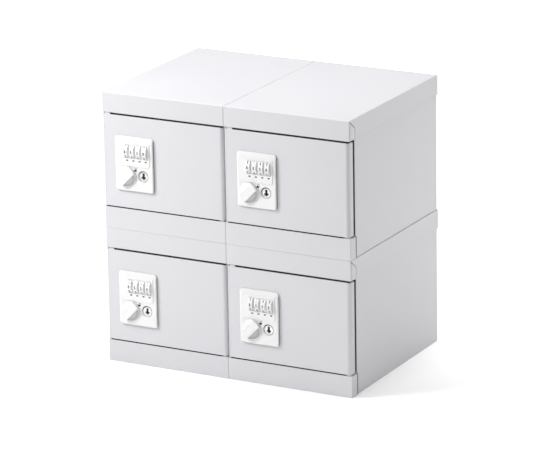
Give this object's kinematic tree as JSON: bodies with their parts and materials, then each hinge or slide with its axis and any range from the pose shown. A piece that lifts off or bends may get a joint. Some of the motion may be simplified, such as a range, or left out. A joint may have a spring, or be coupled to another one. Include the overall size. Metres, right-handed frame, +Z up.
{
  "type": "block of box lockers",
  "caption": "White steel box lockers, stacked and side by side; hinged doors, each with a thumbwheel combination lock, a turn knob and an override key plug.",
  "frame": {"origin": "middle of the block's underside, on the floor; the depth is measured from the dials' front to the caps' back", "axes": "+X to the right seen from the front, +Y to the back, +Z up; the doors face -Y"},
  "size_m": [0.4006, 0.296, 0.4083],
  "materials": {
    "white_paint": "white powder coat, satin, on folded steel sheet",
    "white_plastic": "white moulded plastic, semi-gloss",
    "dark_plastic": "dark grey moulded plastic, matt",
    "steel": "bare turned steel"
  },
  "bodies": {
    "cabinets": {"cabinet_lower_left": "white_paint", "cap_lower_left": "white_paint", "rail_lower_left": "white_paint", "cabinet_lower_right": "white_paint", "cap_lower_right": "white_paint", "rail_lower_right": "white_paint", "cabinet_upper_left": "white_paint", "cap_upper_left": "white_paint", "rail_upper_left": "white_paint", "cabinet_upper_right": "white_paint", "cap_upper_right": "white_paint", "rail_upper_right": "white_paint"},
    "door_lower_left_leaf": {"door_lower_left": "white_paint", "hinge_pin_lower_left": "steel", "lock_plate_lower_left": "white_plastic", "lock_case_lower_left": "dark_plastic", "dial_axle_lower_left": "steel"},
    "knob_lower_left": {"turn_knob_lower_left": "white_plastic", "latch_cam_lower_left": "steel"},
    "plug_lower_left": {"key_plug_lower_left": "steel"},
    "wheel_1_lower_left": {"dial_1_lower_left": "white_plastic"},
    "wheel_2_lower_left": {"dial_2_lower_left": "white_plastic"},
    "wheel_3_lower_left": {"dial_3_lower_left": "white_plastic"},
    "wheel_4_lower_left": {"dial_4_lower_left": "white_plastic"},
    "door_lower_right_leaf": {"door_lower_right": "white_paint", "hinge_pin_lower_right": "steel", "lock_plate_lower_right": "white_plastic", "lock_case_lower_right": "dark_plastic", "dial_axle_lower_right": "steel"},
    "knob_lower_right": {"turn_knob_lower_right": "white_plastic", "latch_cam_lower_right": "steel"},
    "plug_lower_right": {"key_plug_lower_right": "steel"},
    "wheel_1_lower_right": {"dial_1_lower_right": "white_plastic"},
    "wheel_2_lower_right": {"dial_2_lower_right": "white_plastic"},
    "wheel_3_lower_right": {"dial_3_lower_right": "white_plastic"},
    "wheel_4_lower_right": {"dial_4_lower_right": "white_plastic"},
    "door_upper_left_leaf": {"door_upper_left": "white_paint", "hinge_pin_upper_left": "steel", "lock_plate_upper_left": "white_plastic", "lock_case_upper_left": "dark_plastic", "dial_axle_upper_left": "steel"},
    "knob_upper_left": {"turn_knob_upper_left": "white_plastic", "latch_cam_upper_left": "steel"},
    "plug_upper_left": {"key_plug_upper_left": "steel"},
    "wheel_1_upper_left": {"dial_1_upper_left": "white_plastic"},
    "wheel_2_upper_left": {"dial_2_upper_left": "white_plastic"},
    "wheel_3_upper_left": {"dial_3_upper_left": "white_plastic"},
    "wheel_4_upper_left": {"dial_4_upper_left": "white_plastic"},
    "door_upper_right_leaf": {"door_upper_right": "white_paint", "hinge_pin_upper_right": "steel", "lock_plate_upper_right": "white_plastic", "lock_case_upper_right": "dark_plastic", "dial_axle_upper_right": "steel"},
    "knob_upper_right": {"turn_knob_upper_right": "white_plastic", "latch_cam_upper_right": "steel"},
    "plug_upper_right": {"key_plug_upper_right": "steel"},
    "wheel_1_upper_right": {"dial_1_upper_right": "white_plastic"},
    "wheel_2_upper_right": {"dial_2_upper_right": "white_plastic"},
    "wheel_3_upper_right": {"dial_3_upper_right": "white_plastic"},
    "wheel_4_upper_right": {"dial_4_upper_right": "white_plastic"}
  },
  "joints": [
    {"name": "door_lower_left_hinge", "type": "hinge", "parent": "cabinets", "child": "door_lower_left_leaf", "pos_m": [-0.0073, -0.132, 0.1029], "axis": [0, 0, 1], "range_deg": [0, 100]},
    {"name": "knob_lower_left_turn", "type": "hinge", "parent": "door_lower_left_leaf", "child": "knob_lower_left", "pos_m": [-0.1586, -0.138, 0.0828], "axis": [0, 1, 0], "range_deg": [-90, 0]},
    {"name": "plug_lower_left_turn", "type": "hinge", "parent": "door_lower_left_leaf", "child": "plug_lower_left", "pos_m": [-0.1318, -0.138, 0.085], "axis": [0, 1, 0], "range_deg": [0, 90]},
    {"name": "wheel_1_lower_left_turn", "type": "hinge", "parent": "door_lower_left_leaf", "child": "wheel_1_lower_left", "pos_m": [-0.1585, -0.1355, 0.121], "axis": [1, 0, 0], "continuous": true},
    {"name": "wheel_2_lower_left_turn", "type": "hinge", "parent": "door_lower_left_leaf", "child": "wheel_2_lower_left", "pos_m": [-0.1482, -0.1355, 0.121], "axis": [1, 0, 0], "continuous": true},
    {"name": "wheel_3_lower_left_turn", "type": "hinge", "parent": "door_lower_left_leaf", "child": "wheel_3_lower_left", "pos_m": [-0.1379, -0.1355, 0.121], "axis": [1, 0, 0], "continuous": true},
    {"name": "wheel_4_lower_left_turn", "type": "hinge", "parent": "door_lower_left_leaf", "child": "wheel_4_lower_left", "pos_m": [-0.1276, -0.1355, 0.121], "axis": [1, 0, 0], "continuous": true},
    {"name": "door_lower_right_hinge", "type": "hinge", "parent": "cabinets", "child": "door_lower_right_leaf", "pos_m": [0.1933, -0.132, 0.1029], "axis": [0, 0, 1], "range_deg": [0, 100]},
    {"name": "knob_lower_right_turn", "type": "hinge", "parent": "door_lower_right_leaf", "child": "knob_lower_right", "pos_m": [0.042, -0.138, 0.0828], "axis": [0, 1, 0], "range_deg": [-90, 0]},
    {"name": "plug_lower_right_turn", "type": "hinge", "parent": "door_lower_right_leaf", "child": "plug_lower_right", "pos_m": [0.0688, -0.138, 0.085], "axis": [0, 1, 0], "range_deg": [0, 90]},
    {"name": "wheel_1_lower_right_turn", "type": "hinge", "parent": "door_lower_right_leaf", "child": "wheel_1_lower_right", "pos_m": [0.0421, -0.1355, 0.121], "axis": [1, 0, 0], "continuous": true},
    {"name": "wheel_2_lower_right_turn", "type": "hinge", "parent": "door_lower_right_leaf", "child": "wheel_2_lower_right", "pos_m": [0.0524, -0.1355, 0.121], "axis": [1, 0, 0], "continuous": true},
    {"name": "wheel_3_lower_right_turn", "type": "hinge", "parent": "door_lower_right_leaf", "child": "wheel_3_lower_right", "pos_m": [0.0627, -0.1355, 0.121], "axis": [1, 0, 0], "continuous": true},
    {"name": "wheel_4_lower_right_turn", "type": "hinge", "parent": "door_lower_right_leaf", "child": "wheel_4_lower_right", "pos_m": [0.073, -0.1355, 0.121], "axis": [1, 0, 0], "continuous": true},
    {"name": "door_upper_left_hinge", "type": "hinge", "parent": "cabinets", "child": "door_upper_left_leaf", "pos_m": [-0.0073, -0.132, 0.3072], "axis": [0, 0, 1], "range_deg": [0, 100]},
    {"name": "knob_upper_left_turn", "type": "hinge", "parent": "door_upper_left_leaf", "child": "knob_upper_left", "pos_m": [-0.1586, -0.138, 0.2871], "axis": [0, 1, 0], "range_deg": [-90, 0]},
    {"name": "plug_upper_left_turn", "type": "hinge", "parent": "door_upper_left_leaf", "child": "plug_upper_left", "pos_m": [-0.1318, -0.138, 0.2893], "axis": [0, 1, 0], "range_deg": [0, 90]},
    {"name": "wheel_1_upper_left_turn", "type": "hinge", "parent": "door_upper_left_leaf", "child": "wheel_1_upper_left", "pos_m": [-0.1585, -0.1355, 0.3253], "axis": [1, 0, 0], "continuous": true},
    {"name": "wheel_2_upper_left_turn", "type": "hinge", "parent": "door_upper_left_leaf", "child": "wheel_2_upper_left", "pos_m": [-0.1482, -0.1355, 0.3253], "axis": [1, 0, 0], "continuous": true},
    {"name": "wheel_3_upper_left_turn", "type": "hinge", "parent": "door_upper_left_leaf", "child": "wheel_3_upper_left", "pos_m": [-0.1379, -0.1355, 0.3253], "axis": [1, 0, 0], "continuous": true},
    {"name": "wheel_4_upper_left_turn", "type": "hinge", "parent": "door_upper_left_leaf", "child": "wheel_4_upper_left", "pos_m": [-0.1276, -0.1355, 0.3253], "axis": [1, 0, 0], "continuous": true},
    {"name": "door_upper_right_hinge", "type": "hinge", "parent": "cabinets", "child": "door_upper_right_leaf", "pos_m": [0.1933, -0.132, 0.3072], "axis": [0, 0, 1], "range_deg": [0, 100]},
    {"name": "knob_upper_right_turn", "type": "hinge", "parent": "door_upper_right_leaf", "child": "knob_upper_right", "pos_m": [0.042, -0.138, 0.2871], "axis": [0, 1, 0], "range_deg": [-90, 0]},
    {"name": "plug_upper_right_turn", "type": "hinge", "parent": "door_upper_right_leaf", "child": "plug_upper_right", "pos_m": [0.0688, -0.138, 0.2893], "axis": [0, 1, 0], "range_deg": [0, 90]},
    {"name": "wheel_1_upper_right_turn", "type": "hinge", "parent": "door_upper_right_leaf", "child": "wheel_1_upper_right", "pos_m": [0.0421, -0.1355, 0.3253], "axis": [1, 0, 0], "continuous": true},
    {"name": "wheel_2_upper_right_turn", "type": "hinge", "parent": "door_upper_right_leaf", "child": "wheel_2_upper_right", "pos_m": [0.0524, -0.1355, 0.3253], "axis": [1, 0, 0], "continuous": true},
    {"name": "wheel_3_upper_right_turn", "type": "hinge", "parent": "door_upper_right_leaf", "child": "wheel_3_upper_right", "pos_m": [0.0627, -0.1355, 0.3253], "axis": [1, 0, 0], "continuous": true},
    {"name": "wheel_4_upper_right_turn", "type": "hinge", "parent": "door_upper_right_leaf", "child": "wheel_4_upper_right", "pos_m": [0.073, -0.1355, 0.3253], "axis": [1, 0, 0], "continuous": true}
  ]
}
